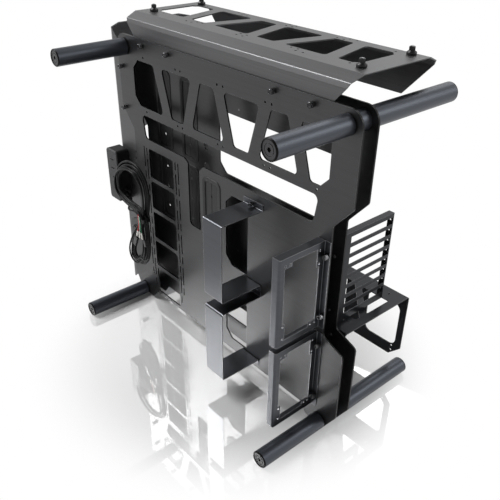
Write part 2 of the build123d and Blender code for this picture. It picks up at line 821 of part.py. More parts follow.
def lead_hank():
    """Outer shape of the coiled leads: a wide loop above the tie and a slim one below it."""
    at = Pos(box_right, hank_front, 0)
    body = at * lead("upper loop", [(x, 0, z) for x, z in upper_loop], hank_r, closed=True)
    body += at * lead("lower loop", [(x, 0, z) for x, z in lower_loop], hank_low_r, closed=True)
    return body + at * neck(hank_neck_r, 0, 1)


def neck(radius, start, end):
    """A stretch of the round neck between the hank's loops, by its shares of the neck's length."""
    line = Line((neck_low[0], 0, neck_low[1]), (neck_high[0], 0, neck_high[1]))
    return extrude(Plane(line @ start, z_dir=line % 0) * Circle(radius), line.length * (end - start))


def lead_tie():
    """Band round the hank's neck."""
    tall = neck_high[1] - neck_low[1]
    ends = [(tie_middle + side * tie_long / 2 - neck_low[1]) / tall for side in (-1, 1)]
    band = neck(hank_neck_r + tie_thick, *ends)
    return Pos(box_right, hank_front, 0) * (band - neck(hank_neck_r, 0, 1))


def plug(points, size):
    """Connector on the end of a lead, in line with its last run."""
    way = Vector(*points[-1]) - Vector(*points[-2])
    face = Plane(points[-1], x_dir=(-way.Z, 0, way.X), z_dir=way)
    body = extrude(face * Rectangle(size[0], size[1]), size[2])
    return chamfer(body.edges(), plug_edge)


def route(start, steps):
    """Points of a lead, from its start and its steps."""
    points = [Vector(*start)]
    for step in steps:
        points.append(points[-1] + Vector(*step))
    return [tuple(point) for point in points]


def start_route(steps, level):
    """Route of a lead from its stub on the port box to the hank."""
    return route((box_right + gland_long, -gland_setback, level), steps)


def tail_route(steps, across, radius):
    """Route of a lead from the hank's neck, under the tie, to its plug."""
    face = hank_front - hank_neck_r - hank_room
    return route((box_right + neck_low[0] + across, face - radius, tie_middle - tail_drop), steps)


def thin_routes():
    """Routes of the thin leads, side by side at the tie and spread towards their plugs."""
    face = hank_front - hank_neck_r - tie_thick - hank_room
    routes = []
    for index in range(thin_count):
        across = box_right + (neck_low[0] + neck_high[0]) / 2 + thin_spot + thin_gap * index
        fan = [thin_spread * (index - 0.4) * count / 6 for count in range(1, len(thin_tail) + 1)]
        steps = [(step[0] + out, step[1], step[2]) for step, out in zip(thin_tail, fan)]
        routes.append(route((across, face - thin_lead_r, tie_middle - thin_lead_r), steps))
    return routes


usb_way = start_route(usb_start, gland_levels[0])
audio_way = start_route(audio_start, gland_levels[1])
usb_end = tail_route(usb_tail, tail_spots[0], lead_r)
audio_end = tail_route(audio_tail, tail_spots[1], slim_lead_r)

nodes = {}
nodes["front_plate"] = front_plate()
nodes["rear_plate"] = rear_plate()
nodes["top_tray"] = on_top(tray(top_tray_half, top_tray_half, top_tray_screws))
nodes["side_tray"] = on_left(tray(side_middle - side_tray_low, side_tray_high - side_middle, side_tray_screws))
nodes["top_tray_knobs"] = [on_top(knob) for knob in tray_knobs()]
nodes["side_tray_knobs"] = [on_left(knob) for knob in tray_knobs()]
nodes["tray_thumb_screws"] = thumb_screws(tray_screws(), 0, tray_thick, thumb_r)
for name, x, z in corners:
    nodes["front_handle_" + name] = handle(x, z, 0, bar_front)
    nodes["rear_handle_" + name] = handle(x, z, rear_back, bar_rear)
    nodes["front_cap_" + name] = end_cap(x, z, bar_front, -1)
    nodes["rear_cap_" + name] = end_cap(x, z, bar_rear, 1)
    nodes["spacer_" + name] = spacer(x, z)
    nodes["tie_rod_" + name] = tie_rod(x, z)
nodes["front_grommet"] = grommet(grommet_left, grommet_right, grommet_low, grommet_high, 0)
for level, span in zip(("lower", "upper"), rear_cable_spans()):
    nodes["rear_grommet_" + level] = grommet(rear_grommet_left, rear_grommet_right, *span, rear_front)
for level, low, middle in zip(("lower", "upper"), psu_lows, psu_middles):
    nodes["psu_strap_" + level] = strap(low)
    nodes["psu_frame_" + level] = psu_frame(middle)
nodes["psu_strap_screws"] = thumb_screws(strap_screws(), -sheet_thick, sheet_thick, strap_thumb_r)
nodes["psu_frame_screws"] = thumb_screws(frame_screws(), -sheet_thick, sheet_thick, thumb_r)
nodes["card_bracket"] = card_bracket()
nodes["card_shelf"] = card_shelf()
nodes["card_screws"] = pan_screws(card_screws(), rear_front)
nodes["board_standoffs"] = standoffs()
nodes["port_box_body"] = box_body()
nodes["port_box_cover"] = box_face()
nodes["port_box_sockets"] = port_sockets()
nodes["port_box_jacks"] = port_jacks()
nodes["lead_hank"] = lead_hank()
nodes["lead_tie"] = lead_tie()
nodes["usb_lead_start"] = lead("usb start", usb_way, lead_r)
nodes["usb_lead_tail"] = lead("usb tail", usb_end, lead_r)
nodes["usb_lead_plug"] = plug(usb_end, usb_plug_size)
nodes["audio_lead_start"] = lead("audio start", audio_way, slim_lead_r)
nodes["audio_lead_tail"] = lead("audio tail", audio_end, slim_lead_r)
nodes["audio_lead_plug"] = plug(audio_end, audio_plug_size)
nodes["switch_leads"] = [lead("switch lead", route, thin_lead_r) for route in thin_routes()]
nodes["switch_plugs"] = [plug(route, thin_plug_size) for route in thin_routes()]


def solids_of(piece):
    """The solids of one piece, or of a group of like pieces."""
    group = piece if isinstance(piece, list) else [piece]
    return [solid for member in group for solid in member.solids()]


# The part's own origin is on the floor, in the middle of its length and depth
reach = Compound([solid for piece in nodes.values() for solid in solids_of(piece)]).bounding_box()
origin = Pos(-reach.center().X, -reach.center().Y, -reach.min.Z)
print("moved by", origin.position)
os.makedirs("parts", exist_ok=True)
for name, piece in nodes.items():
    placed = [origin * solid for solid in solids_of(piece)]
    export_step(placed[0] if len(placed) == 1 else Compound(placed), "parts/" + name + ".step")
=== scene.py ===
import math

import bmesh
import bpy
from bpy.props import FloatProperty, FloatVectorProperty, IntProperty, PointerProperty
from mathutils import Matrix, Vector


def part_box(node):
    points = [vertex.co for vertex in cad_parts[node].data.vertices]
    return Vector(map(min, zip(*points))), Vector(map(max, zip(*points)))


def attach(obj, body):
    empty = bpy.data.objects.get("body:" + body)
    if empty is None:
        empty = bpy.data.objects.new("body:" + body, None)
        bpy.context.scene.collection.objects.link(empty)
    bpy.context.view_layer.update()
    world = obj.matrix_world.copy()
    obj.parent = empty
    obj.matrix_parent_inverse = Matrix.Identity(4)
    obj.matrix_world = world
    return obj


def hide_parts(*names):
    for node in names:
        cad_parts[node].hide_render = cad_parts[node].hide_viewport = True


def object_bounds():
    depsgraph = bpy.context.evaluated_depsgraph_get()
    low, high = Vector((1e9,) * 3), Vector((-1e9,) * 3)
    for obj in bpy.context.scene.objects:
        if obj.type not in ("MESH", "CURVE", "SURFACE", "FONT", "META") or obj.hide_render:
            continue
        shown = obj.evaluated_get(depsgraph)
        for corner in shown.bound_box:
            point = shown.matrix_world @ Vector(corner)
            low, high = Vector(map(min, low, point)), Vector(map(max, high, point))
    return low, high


bl_info = {
    "name": "Open Air Test Bench",
    "version": (1, 0, 0),
    "blender": (4, 5, 0),
    "location": "3D View > Sidebar > Bench",
    "description": "Finishes, leads and stage for an upright open frame that carries a computer",
    "category": "Object",
}

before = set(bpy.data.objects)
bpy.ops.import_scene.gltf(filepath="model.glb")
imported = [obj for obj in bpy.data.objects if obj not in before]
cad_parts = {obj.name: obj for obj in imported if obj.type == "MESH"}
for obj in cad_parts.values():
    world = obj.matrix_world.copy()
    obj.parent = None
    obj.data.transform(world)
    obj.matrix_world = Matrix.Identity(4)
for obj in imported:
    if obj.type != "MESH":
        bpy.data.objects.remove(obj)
cad_low, cad_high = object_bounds()

# The plates set the bench's own measures: their middle, and the front plate's outer face
plate_low, plate_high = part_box("front_plate")
bench_origin = Vector(((plate_low.x + plate_high.x) / 2, plate_low.y, 0))
mm = 0.001

# Points nearer than this are one point
WELD = 1e-7


def at_bench(x, y, z):
    """A point of the row frame, from millimetres off the plates' middle, the front face and the floor."""
    return bench_origin + Vector((x, y, z)) * mm


def colour_prop(name, description, default):
    return FloatVectorProperty(name=name, description=description, subtype="COLOR", size=3,
                               min=0, max=1, default=default)


def length_prop(name, description, default):
    return FloatProperty(name=name, description=description, unit="LENGTH", min=0, default=default)


class BenchFinish(bpy.types.PropertyGroup):
    """Colours of the metal, rubber and plastic."""
    plate: colour_prop("Plates", "Black anodised sheet of the plates", (0.063, 0.063, 0.065))
    tray: colour_prop("Trays", "Black anodised sheet of the trays", (0.105, 0.105, 0.108))
    bracket: colour_prop("Brackets", "Satin black of the power supply straps and frames", (0.068, 0.071, 0.078))
    card: colour_prop("Card bracket", "Deeper satin black of the card bracket and its shelf", (0.028, 0.029, 0.032))
    # The edge colour is a painted highlight: a light line laid along cut and folded edges where they catch the light.
    edge: colour_prop("Cut edges", "Thin light line along cut and folded edges", (0.62, 0.62, 0.64))
    bar: colour_prop("Bars", "Satin blue-grey of the corner bars", (0.07, 0.076, 0.088))
    cap: colour_prop("End caps", "Turned caps in the bars' ends", (0.06, 0.06, 0.063))
    steel: colour_prop("Steel", "Plain plated steel", (0.55, 0.55, 0.54))
    socket: colour_prop("Sockets", "Dark shells of the port box's sockets", (0.07, 0.07, 0.073))
    post: colour_prop("Board posts", "Dark plated board posts and knob tips", (0.16, 0.16, 0.165))
    screw: colour_prop("Screws", "Blackened screws", (0.035, 0.035, 0.037))
    # This black also paints shade: the black bands at the bars' ends are painted contact shade, and the walls of the
    # plates' cuts get painted shade in it; the grommets, knobs and jacks have it as their own colour.
    rubber: colour_prop("Rubber", "Grommets, knobs and the rings at the bars' ends", (0.008, 0.008, 0.0085))
    box: colour_prop("Port box", "Moulded body of the port box", (0.009, 0.009, 0.0095))
    # The cover is lighter than the box's body in part as painted light on the box's lit face.
    cover: colour_prop("Port box cover", "Textured cover of the port box", (0.026, 0.026, 0.028))
    sheath: colour_prop("Leads", "Black sheath of the leads", (0.006, 0.006, 0.0065))
    plug: colour_prop("Plugs", "Black plugs of the two wide leads", (0.03, 0.03, 0.032))
    pale_plug: colour_prop("Switch plugs", "Small pale plugs of the switch leads", (0.4, 0.39, 0.37))
    red_lead: colour_prop("Red lead", "First switch lead", (0.42, 0.03, 0.025))
    pale_lead: colour_prop("Pale lead", "Second switch lead", (0.4, 0.4, 0.39))
    green_lead: colour_prop("Green lead", "Third switch lead", (0.02, 0.16, 0.07))


class BenchFasteners(bpy.types.PropertyGroup):
    """Details of the screws and knobs."""
    knurl_teeth: IntProperty(name="Knurl teeth", description="Teeth round a knob or thumb screw", min=8, default=30)
    knurl_depth: length_prop("Knurl depth", "Depth of the teeth", 0.00035)
    cross_wide: length_prop("Cross width", "Width of a screw's cross recess", 0.0009)
    cross_long: length_prop("Cross length", "Length of a screw's cross recess", 0.0036)
    cross_deep: length_prop("Cross depth", "Depth of a screw's cross recess", 0.0011)
    star_pitch: length_prop("Star pitch", "Distance between the star cuts of a grommet's skin", 0.05)


class BenchCard(bpy.types.PropertyGroup):
    """Slots of the card bracket."""
    slots: IntProperty(name="Slots", description="Number of card slots", min=1, default=8)
    pitch: length_prop("Slot pitch", "Distance from one card slot to the next", 0.02032)
    slot_high: length_prop("Slot height", "Height of a card slot", 0.013)
    slot_lift: length_prop("Slot lift", "Height of the slots' middle above the bracket's", 0.003)
    slot_back: length_prop("Slot end", "Where the solid's slots end, from the bracket's front", 0.125)
    sheet: length_prop("Sheet", "Thickness of the bracket's sheet", 0.0015)
    flange_room: length_prop("Flange room", "Metal left between a slot and the rear flange", 0.0004)


class BenchLeads(bpy.types.PropertyGroup):
    """Leads of the port box."""
    usb_wide: length_prop("Data lead", "Diameter of the data lead", 0.0052)
    audio_wide: length_prop("Sound lead", "Diameter of the sound lead", 0.0038)
    thin_wide: length_prop("Switch lead", "Diameter of a switch lead", 0.0018)
    usb_long: length_prop("Data lead length", "Length of the data lead, coil included", 2.1)
    audio_long: length_prop("Sound lead length", "Length of the sound lead, coil included", 1.4)
    thin_long: length_prop("Switch lead length", "Length of a switch lead from the tie to its plug", 0.039)


class BenchStage(bpy.types.PropertyGroup):
    """Camera, floor and lamps."""
    eye: FloatVectorProperty(name="Eye", description="Camera's place off the plates' middle, in millimetres",
                             size=3, default=(833.24, -660.02, 875.18))
    azimuth: FloatProperty(name="Azimuth", description="Turn of the camera about the bench", default=48.8085)
    elevation: FloatProperty(name="Elevation", description="Angle above the horizon", default=32.4813)
    roll: FloatProperty(name="Roll", description="Turn about the line of sight", default=0.7055)
    lens: FloatProperty(name="Lens", description="Focal length in millimetres on a 36 mm sensor", default=45.678)
    shift: FloatVectorProperty(name="Shift", description="Lens shift across and up", size=2, default=(0.0082, 0.0435))
    floor: colour_prop("Floor", "Plain pale floor", (0.9, 0.9, 0.9))
    sheen: FloatProperty(name="Floor sheen", description="How much the floor mirrors beside the bench",
                         min=0, max=1, default=0.5)


# Stretch of the brushing: fine lines along X or Y, or an even grain
BRUSHED_ALONG_X = (4.0, 4.0, 900.0)
BRUSHED_ALONG_Y = (900.0, 4.0, 900.0)
TURNED_CAP = (500.0,) * 3
THUMB_GRAIN = (300.0,) * 3
PAN_GRAIN = (400.0,) * 3
SHEET_METALLIC = 0.95

# How far brushing moves the colour, as a share, and the roughness
GRAIN_SHADE = 0.28
GRAIN_ROUGH = 0.07
# The same for handling marks on plastic, rubber and bare metal: darkest and lightest share, and the roughness
SKIN_SHADES = (0.8, 1.22)
SKIN_ROUGH = (-0.08, 0.08)
METAL_SHADE = 0.85
METAL_ROUGH = (-0.06, 0.08)
# Height of all bumps
BUMP_DEEP = 0.0002

# Painted contact shade at a bar's ends: where the end turns black, as a share of its length, and how sharply
PAINTED_END_SHADE = 0.014
PAINTED_END_FADE = 0.001
# Painted shade on the walls of a plate's cuts: how squarely a surface faces along Y, and how dark a plate's surface is
# for it
PAINTED_CUT_SHADE = ((0.3, 0.6), (0.85, 0))


def new_group(name, inputs, outputs):
    """An empty shader node group with its sockets, and its two end nodes."""
    group = bpy.data.node_groups.new(name, "ShaderNodeTree")
    for label, kind, default in inputs:
        socket = group.interface.new_socket(label, in_out="INPUT", socket_type=kind)
        socket.default_value = default
    for label, kind in outputs:
        group.interface.new_socket(label, in_out="OUTPUT", socket_type=kind)
    return group, group.nodes.new("NodeGroupInput"), group.nodes.new("NodeGroupOutput")


def math_node(tree, operation, first, second=None, clamp=False):
    """A math node with its inputs linked or set, and its result."""
    node = tree.nodes.new("ShaderNodeMath")
    node.operation = operation
    node.use_clamp = clamp
    for socket, value in zip(node.inputs, (first, second)):
        if isinstance(value, bpy.types.NodeSocket):
            tree.links.new(value, socket)
        elif value is not None:
            socket.default_value = value
    return node.outputs[0]


def vector_node(tree, operation, *values):
    """A vector math node with its inputs linked, and its results."""
    node = tree.nodes.new("ShaderNodeVectorMath")
    node.operation = operation
    for socket, value in zip(node.inputs, values):
        tree.links.new(value, socket)
    return node.outputs


def coordinate(tree, kind):
    """A texture coordinate of a piece."""
    return tree.nodes.new("ShaderNodeTexCoord").outputs[kind]


def noise_node(tree, vector, scale, detail):
    """Noise over a vector, as a value about 0.5."""
    node = tree.nodes.new("ShaderNodeTexNoise")
    node.inputs["Detail"].default_value = detail
    tree.links.new(vector, node.inputs["Vector"])
    if isinstance(scale, bpy.types.NodeSocket):
        tree.links.new(scale, node.inputs["Scale"])
    else:
        node.inputs["Scale"].default_value = scale
    return node.outputs["Fac"]


def brushed_grain():
    """Fine lines along one direction, with slow streaks across them."""
    group, start, end = new_group(
        "Brushed Grain",
        [("Stretch", "NodeSocketVector", BRUSHED_ALONG_X), ("Streak", "NodeSocketFloat", 0.4)],
        [("Grain", "NodeSocketFloat")])
    place = vector_node(group, "MULTIPLY", coordinate(group, "Object"), start.outputs["Stretch"])["Vector"]
    fine = noise_node(group, place, scale=1.0, detail=4.0)
    broad = noise_node(group, place, scale=0.12, detail=2.0)
    mix = group.nodes.new("ShaderNodeMix")
    group.links.new(start.outputs["Streak"], mix.inputs["Factor"])
    group.links.new(fine, mix.inputs["A"])
    group.links.new(broad, mix.inputs["B"])
    group.links.new(mix.outputs["Result"], end.inputs["Grain"])


def painted_edge_highlight():
    """Mask of a painted highlight, a thin light line along cut edges and folds, a little uneven."""
    group, start, end = new_group(
        "Painted Edge Highlight",
        [("Width", "NodeSocketFloat", 0.0006), ("Amount", "NodeSocketFloat", 1.0)],
        [("Mask", "NodeSocketFloat")])
    bevel = group.nodes.new("ShaderNodeBevel")
    bevel.samples = 6
    group.links.new(start.outputs["Width"], bevel.inputs["Radius"])
    true_normal = group.nodes.new("ShaderNodeNewGeometry").outputs["True Normal"]
    dot = vector_node(group, "DOT_PRODUCT", bevel.outputs["Normal"], true_normal)["Value"]
    mask = math_node(group, "MULTIPLY", math_node(group, "SUBTRACT", 1.0, dot), 7.0, clamp=True)
    uneven = noise_node(group, coordinate(group, "Object"), scale=60.0, detail=3.0)
    mask = math_node(group, "MULTIPLY", mask, math_node(group, "ADD", uneven, 0.45), clamp=True)
    mask = math_node(group, "MULTIPLY", mask, start.outputs["Amount"], clamp=True)
    group.links.new(mask, end.inputs["Mask"])


def fine_texture():
    """Small even bumps of a moulded or coated skin, with slow handling marks."""
    group, start, end = new_group(
        "Fine Texture",
        [("Scale", "NodeSocketFloat", 1800.0), ("Marks", "NodeSocketFloat", 9.0)],
        [("Bumps", "NodeSocketFloat"), ("Handling", "NodeSocketFloat")])
    place = coordinate(group, "Object")
    group.links.new(noise_node(group, place, start.outputs["Scale"], detail=2.0), end.inputs["Bumps"])
    group.links.new(noise_node(group, place, start.outputs["Marks"], detail=5.0), end.inputs["Handling"])


def place_group(tree, group, **values):
    """A group in a material, with its own values."""
    node = tree.nodes.new("ShaderNodeGroup")
    node.node_tree = bpy.data.node_groups[group]
    for label, value in values.items():
        node.inputs[label].default_value = value
    return node


def new_material(name):
    """A material with its node tree and its Principled shader."""
    material = bpy.data.materials.new(name)
    material.use_nodes = True
    shader = material.node_tree.nodes["Principled BSDF"]
    return material, material.node_tree, shader


def spread(tree, value, low, high):
    """A 0 to 1 value spread between two limits."""
    node = tree.nodes.new("ShaderNodeMapRange")
    tree.links.new(value, node.inputs["Value"])
    node.inputs["To Min"].default_value = low
    node.inputs["To Max"].default_value = high
    return node.outputs["Result"]


def smooth(tree, value, limits, results):
    """A value going softly over from one result to another between two limits."""
    node = tree.nodes.new("ShaderNodeMapRange")
    node.interpolation_type = "SMOOTHSTEP"
    tree.links.new(value, node.inputs["Value"])
    for label, number in zip(("From Min", "From Max", "To Min", "To Max"), (*limits, *results)):
        node.inputs[label].default_value = number
    return node.outputs["Result"]


def parts_of(tree, kind):
    """X, Y and Z of a texture coordinate."""
    node = tree.nodes.new("ShaderNodeSeparateXYZ")
    tree.links.new(coordinate(tree, kind), node.inputs[0])
    return node.outputs


def two_colours(tree, mask, first, second):
    """A colour, set or linked, going over to another by a mask."""
    node = tree.nodes.new("ShaderNodeMix")
    node.data_type = "RGBA"
    tree.links.new(mask, node.inputs["Factor"])
    if isinstance(first, bpy.types.NodeSocket):
        tree.links.new(first, node.inputs["A"])
    else:
        node.inputs["A"].default_value = (*first, 1)
    node.inputs["B"].default_value = (*second, 1)
    return node.outputs["Result"]


def two_shaders(tree, share, first, second):
    """One shader going over to another by a share."""
    node = tree.nodes.new("ShaderNodeMixShader")
    for socket, value in zip(node.inputs, (share, first, second)):
        tree.links.new(value, socket)
    return node.outputs[0]


def bump(tree, shader, height, strength):
    """Lets a height tilt the shader's normal."""
    node = tree.nodes.new("ShaderNodeBump")
    node.inputs["Strength"].default_value = strength
    node.inputs["Distance"].default_value = BUMP_DEEP
    tree.links.new(height, node.inputs["Height"])
    tree.links.new(node.outputs["Normal"], shader.inputs["Normal"])


def brushed_metal(name, colour, stretch, rough, highlight_width=0.0004, highlight_amount=0.8):
    """Coloured metal with brushing along one way and a painted highlight along its cut edges."""
    material, tree, shader = new_material(name)
    grain = place_group(tree, "Brushed Grain", Stretch=stretch)
    line = place_group(tree, "Painted Edge Highlight", Width=highlight_width, Amount=highlight_amount)
    dark = tuple(part * (1 - GRAIN_SHADE) for part in colour)
    light = tuple(part * (1 + GRAIN_SHADE) for part in colour)
    body = two_colours(tree, grain.outputs["Grain"], dark, light)
    # The light edge colour that this mask lays on is a painted highlight along cut edges and folds
    edge = bpy.context.scene.bench_finish.edge
    tree.links.new(two_colours(tree, line.outputs["Mask"], body, edge), shader.inputs["Base Color"])
    uneven = spread(tree, grain.outputs["Grain"], rough - GRAIN_ROUGH, rough + GRAIN_ROUGH)
    tree.links.new(uneven, shader.inputs["Roughness"])
    shader.inputs["Metallic"].default_value = SHEET_METALLIC
    bump(tree, shader, grain.outputs["Grain"], strength=0.06)
    return material


def cover_colour(material, mask, colour):
    """Lays a second colour over a metal's own by a mask."""
    tree = material.node_tree
    base = tree.nodes["Principled BSDF"].inputs["Base Color"]
    tree.links.new(two_colours(tree, mask, base.links[0].from_socket, colour), base)


def paint_end_shade(material, colour):
    """Paints shade as a black band at both ends of a bar that lies along Y, where it meets a plate or a cap."""
    tree = material.node_tree
    off_middle = math_node(tree, "ABSOLUTE", math_node(tree, "SUBTRACT", parts_of(tree, "Generated")["Y"], 0.5))
    limits = (0.5 - PAINTED_END_FADE - PAINTED_END_SHADE, 0.5 - PAINTED_END_SHADE)
    cover_colour(material, smooth(tree, off_middle, limits, (0, 1)), colour)


def paint_cut_shade(material, colour):
    """Paints shade on the walls of the cuts through a plate that faces along Y, going over to a darker colour there."""
    tree = material.node_tree
    facing = math_node(tree, "ABSOLUTE", parts_of(tree, "Normal")["Y"])
    cover_colour(material, smooth(tree, facing, *PAINTED_CUT_SHADE), colour)


def moulded(name, colour, rough, scale, relief, specular=0.4):
    """Plastic or rubber with a fine skin and handling marks."""
    material, tree, shader = new_material(name)
    skin = place_group(tree, "Fine Texture", Scale=scale)
    dark, light = [tuple(min(1.0, part * share) for part in colour) for share in SKIN_SHADES]
    tree.links.new(two_colours(tree, skin.outputs["Handling"], dark, light), shader.inputs["Base Color"])
    uneven = spread(tree, skin.outputs["Handling"], *[rough + step for step in SKIN_ROUGH])
    tree.links.new(uneven, shader.inputs["Roughness"])
    shader.inputs["Specular IOR Level"].default_value = specular
    bump(tree, shader, skin.outputs["Bumps"], strength=relief)
    return material


def bare_metal(name, colour, rough):
    """Bare or plated metal with fine marks."""
    material, tree, shader = new_material(name)
    skin = place_group(tree, "Fine Texture", Scale=900.0)
    dark = tuple(part * METAL_SHADE for part in colour)
    tree.links.new(two_colours(tree, skin.outputs["Handling"], dark, colour), shader.inputs["Base Color"])
    uneven = spread(tree, skin.outputs["Handling"], *[rough + step for step in METAL_ROUGH])
    tree.links.new(uneven, shader.inputs["Roughness"])
    shader.inputs["Metallic"].default_value = 1.0
    bump(tree, shader, skin.outputs["Bumps"], strength=0.03)
    return material


def dress(names, material):
    """Gives CAD pieces their finish."""
    for name in names:
        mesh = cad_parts[name].data
        mesh.materials.clear()
        mesh.materials.append(material)


def nodes_with(*starts):
    """Names of the CAD pieces that start in one of these ways."""
    return [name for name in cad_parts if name.startswith(starts)]


def add_piece(name, shape, material, slot, *stands_for):
    """A new piece of the bench from a bmesh or a curve, in place of the CAD pieces that it stands for."""
    data = finish_mesh(shape, name) if isinstance(shape, bmesh.types.BMesh) else shape
    piece = bpy.data.objects.new(name, data)
    bpy.context.scene.collection.objects.link(piece)
    data.materials.append(material)
    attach(piece, "root")
    if stands_for:
        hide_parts(*stands_for)
    return piece


def solids_of(name):
    """The separate solids of a CAD node, as lists of their points."""
    mesh = bmesh.new()
    mesh.from_mesh(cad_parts[name].data)
    bmesh.ops.remove_doubles(mesh, verts=mesh.verts, dist=WELD)
    waiting = set(mesh.verts)
    groups = []
    while waiting:
        front = [waiting.pop()]
        members = list(front)
        while front:
            vert = front.pop()
            for edge in vert.link_edges:
                other = edge.other_vert(vert)
                if other in waiting:
                    waiting.remove(other)
                    front.append(other)
                    members.append(other)
        groups.append([vert.co.copy() for vert in members])
    mesh.free()
    return groups


def middle_of(points):
    """Lowest and highest corners of some points, and the middle between them."""
    low = Vector([min(point[axis] for point in points) for axis in range(3)])
    high = Vector([max(point[axis] for point in points) for axis in range(3)])
    return low, high, (low + high) / 2


def join_rings(mesh, rings):
    """Faces between each ring of points and the next."""
    for first, second in zip(rings, rings[1:]):
        for index in range(len(first)):
            after = (index + 1) % len(first)
            mesh.faces.new((first[index], first[after], second[after], second[index]))


def ring(mesh, matrix, radius, height, segments, start=0, teeth=0):
    """A ring of points about Z, every second one further in by the depth of the teeth."""
    points = []
    for step in range(segments):
        angle = start + 2 * math.pi * step / segments
        size = radius - teeth * (0.5 + 0.5 * math.cos(math.pi * step))
        points.append(mesh.verts.new(matrix @ Vector((size * math.cos(angle), size * math.sin(angle), height))))
    return points


def lathe(mesh, profile, segments, matrix, teeth=0):
    """Turns a profile of (radius, height, toothed) about Z, closed at both ends."""
    rings = [ring(mesh, matrix, radius, height, segments, teeth=teeth * toothed) for radius, height, toothed in profile]
    join_rings(mesh, rings)
    mesh.faces.new(list(reversed(rings[0])))
    mesh.faces.new(rings[-1])


# Edges that turn by less than this are smooth
SMOOTH_BELOW = math.radians(35)


def finish_mesh(mesh, name):
    """A bmesh as mesh data, smooth but for its sharp edges."""
    bmesh.ops.recalc_face_normals(mesh, faces=mesh.faces)
    for face in mesh.faces:
        face.smooth = True
    for edge in mesh.edges:
        edge.smooth = len(edge.link_faces) == 2 and edge.calc_face_angle(0) < SMOOTH_BELOW
    data = bpy.data.meshes.new(name)
    mesh.to_mesh(data)
    mesh.free()
    return data


class BENCH_OT_finishes(bpy.types.Operator):
    """Makes the shared node groups and gives the CAD pieces their finishes"""
    bl_idname = "bench.finishes"
    bl_label = "Metal and rubber"

    def execute(self, context):
        look = context.scene.bench_finish
        brushed_grain()
        painted_edge_highlight()
        fine_texture()
        # Each finish's highlight width and amount set its painted edge highlight
        plate = brushed_metal("Black anodised plate", look.plate, BRUSHED_ALONG_X, rough=0.38, highlight_width=0.0003,
                              highlight_amount=0.55)
        tray = brushed_metal("Black anodised tray", look.tray, BRUSHED_ALONG_X, rough=0.42, highlight_amount=0.12)
        bracket = brushed_metal("Satin black sheet", look.bracket, BRUSHED_ALONG_X, rough=0.34, highlight_width=0.0008)
        card = brushed_metal("Deep satin black sheet", look.card, BRUSHED_ALONG_X, rough=0.34, highlight_amount=0.3)
        bar = brushed_metal("Satin blue-grey bar", look.bar, BRUSHED_ALONG_Y, rough=0.42, highlight_amount=0.0)
        cap = brushed_metal("Turned cap", look.cap, TURNED_CAP, rough=0.34, highlight_amount=0.25)
        # Painted shade on the walls of the plates' cuts, in the rubber's black
        paint_cut_shade(plate, look.rubber)
        dress(["front_plate", "rear_plate"], plate)
        dress(["top_tray", "side_tray"], tray)
        dress(["psu_strap_lower", "psu_strap_upper", "psu_frame_lower", "psu_frame_upper"], bracket)
        dress(["card_bracket", "card_shelf"], card)
        # Painted contact shade: black bands at the bars' ends, in the rubber's black
        paint_end_shade(bar, look.rubber)
        dress(nodes_with("front_handle", "rear_handle", "spacer"), bar)
        dress(nodes_with("front_cap", "rear_cap"), cap)
        dress(nodes_with("tie_rod"), bare_metal("Plated steel", look.steel, rough=0.3))
        dress(["board_standoffs"], bare_metal("Dark plated post", look.post, rough=0.28))
        dress(["port_box_sockets"], bare_metal("Socket shell", look.socket, rough=0.3))
        dress(["port_box_body"],
              moulded("Box plastic", look.box, rough=0.5, scale=1500.0, relief=0.2, specular=0.1))
        # Lighter cover colour, in part painted light on the box's lit face
        dress(["port_box_cover"],
              moulded("Textured cover", look.cover, rough=0.5, scale=1500.0, relief=0.25, specular=0.3))
        dress(["port_box_jacks"], moulded("Jack plastic", look.rubber, rough=0.4, scale=1500.0, relief=0.1))
        return {"FINISHED"}


# How much of the solids' width the knobs and thumb screws keep
KNOB_SHARE = 0.92
THUMB_SHARE = 0.86


class BENCH_OT_thumb_screws(bpy.types.Operator):
    """Knurled thumb screws that hold the trays, straps and frames to the front plate"""
    bl_idname = "bench.thumb_screws"
    bl_label = "Thumb screws"

    def execute(self, context):
        look = context.scene.bench_finish
        detail = context.scene.bench_fasteners
        material = brushed_metal("Blackened screw", look.screw, THUMB_GRAIN, rough=0.24, highlight_width=0.0003,
                                 highlight_amount=0.45)
        for group in ("tray_thumb_screws", "psu_strap_screws", "psu_frame_screws"):
            mesh = bmesh.new()
            for points in solids_of(group):
                self.screw(mesh, points, detail)
            add_piece(group + "_heads", mesh, material, "thumb_screw", group)
        return {"FINISHED"}

    def screw(self, mesh, points, detail):
        """A knurled head with a dished end, on its shank."""
        low, high, middle = middle_of(points)
        radius = (high.x - low.x) / 2 * THUMB_SHARE
        seat = max(point.y for point in points if (point - middle).xz.length > radius * 0.7)
        turn = Matrix.Translation((middle.x, seat, middle.z)) @ Matrix.Rotation(math.pi / 2, 4, "X")
        face = seat - low.y
        neck = face * 0.18
        shank = min(point.xz.length for point in ((spot - middle) for spot in points) if point.y > seat - middle.y)
        profile = [(shank, seat - high.y, False), (shank, 0, False), (radius * 0.7, 0, False),
                   (radius * 0.72, neck * 0.8, False), (radius * 0.94, neck, False), (radius, neck * 1.3, True),
                   (radius, face * 0.86, True), (radius * 0.9, face * 0.95, False), (radius * 0.78, face, False),
                   (radius * 0.5, face, False), (radius * 0.42, face * 0.93, False)]
        lathe(mesh, profile, detail.knurl_teeth * 2, turn, detail.knurl_depth)


